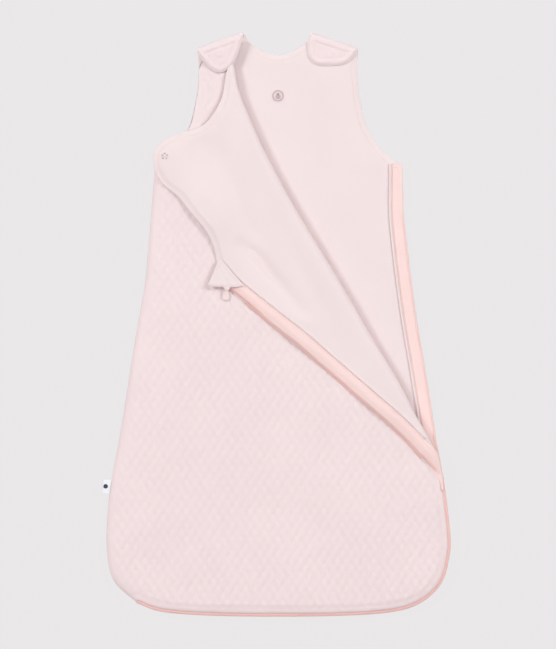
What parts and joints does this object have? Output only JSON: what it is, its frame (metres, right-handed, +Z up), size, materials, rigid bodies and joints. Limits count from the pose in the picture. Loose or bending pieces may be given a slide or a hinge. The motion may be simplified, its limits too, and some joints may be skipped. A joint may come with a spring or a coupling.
{
  "type": "baby sleeping bag",
  "caption": "Sleeveless quilted baby sleeping bag lying open, with a side and hem zip, a folding upper front, shoulder tabs with press studs and a rounded foot end.",
  "frame": {"origin": "on the underside of the back panel, on the centre line, 0.351 m from the hem", "axes": "+Y towards the head, +Z up out of the front, +X to the right when seen from above with the head at the top"},
  "size_m": [0.4174, 0.7016, 0.0243],
  "materials": {
    "outer": "soft diamond matelasse knit",
    "lining": "plain cotton jersey",
    "wadding": "polyester wadding",
    "zip_tape": "woven tape",
    "zip_coil": "moulded coil",
    "metal": "lacquered metal",
    "snap": "satin press stud",
    "label": "woven label",
    "print": "flat print"
  },
  "bodies": {
    "back": {"back_outer": "outer", "back_wadding": "wadding", "back_lining": "lining", "back_zip_tape": "zip_tape", "back_zip_coil": "zip_coil", "insertion_pin": "metal", "left_side_seam": "outer", "left_shoulder_seam": "outer", "right_shoulder_seam": "outer", "neck_patch": "print", "front_outer": "outer", "front_wadding": "wadding", "front_lining": "lining", "side_zip_tape": "zip_tape", "side_zip_coil": "zip_coil"},
    "front_flap": {"flap_outer": "outer", "flap_wadding": "wadding", "flap_lining": "lining", "flap_zip_tape": "zip_tape", "flap_zip_coil": "zip_coil", "retainer_box": "metal", "strap_stud_ring": "snap", "strap_stud_pearl": "snap", "zip_garage": "lining"},
    "foot_corner": {"foot_outer": "outer", "foot_wadding": "wadding", "foot_lining": "lining", "foot_zip_tape": "zip_tape", "foot_zip_coil": "zip_coil"},
    "left_tab": {"left_tab_outer": "outer", "left_tab_lining": "lining", "left_tab_snap_cap": "snap"},
    "right_tab": {"right_tab_outer": "outer", "right_tab_lining": "lining", "right_tab_snap_cap": "snap"},
    "slider": {"slider_body": "metal", "slider_crown": "metal"},
    "pull": {"zip_pull": "metal"},
    "label": {"side_label": "label"}
  },
  "joints": [
    {"name": "front_flap_fold", "type": "hinge", "parent": "back", "child": "front_flap", "pos_m": [0.199, -0.188, 0.01535], "axis": [-0.4686, 0.8834, 0], "range_deg": [0, 180]},
    {"name": "foot_corner_fold", "type": "hinge", "parent": "back", "child": "foot_corner", "pos_m": [0.204, -0.215, 0.01535], "axis": [-0.9548, -0.2973, 0], "range_deg": [0, 150]},
    {"name": "left_tab_lift", "type": "hinge", "parent": "back", "child": "left_tab", "pos_m": [-0.0972, 0.328, 0.01535], "axis": [-0.9369, -0.3496, 0], "range_deg": [0, 150]},
    {"name": "right_tab_lift", "type": "hinge", "parent": "back", "child": "right_tab", "pos_m": [0.0955, 0.3306, 0.00525], "axis": [-0.9478, 0.3189, 0], "range_deg": [0, 150]},
    {"name": "zip_slider_run", "type": "slide", "parent": "front_flap", "child": "slider", "axis": [0.8038, -0.5949, 0], "range_m": [0, 0.15]},
    {"name": "zip_pull_swivel", "type": "hinge", "parent": "slider", "child": "pull", "pos_m": [-0.06263, 0.04473, 0.018], "axis": [0, 0, 1], "range_deg": [-50, 45]},
    {"name": "side_label_flip", "type": "hinge", "parent": "back", "child": "label", "pos_m": [-0.203, -0.1878, 0.0104], "axis": [0, 1, 0], "range_deg": [0, 90]}
  ]
}
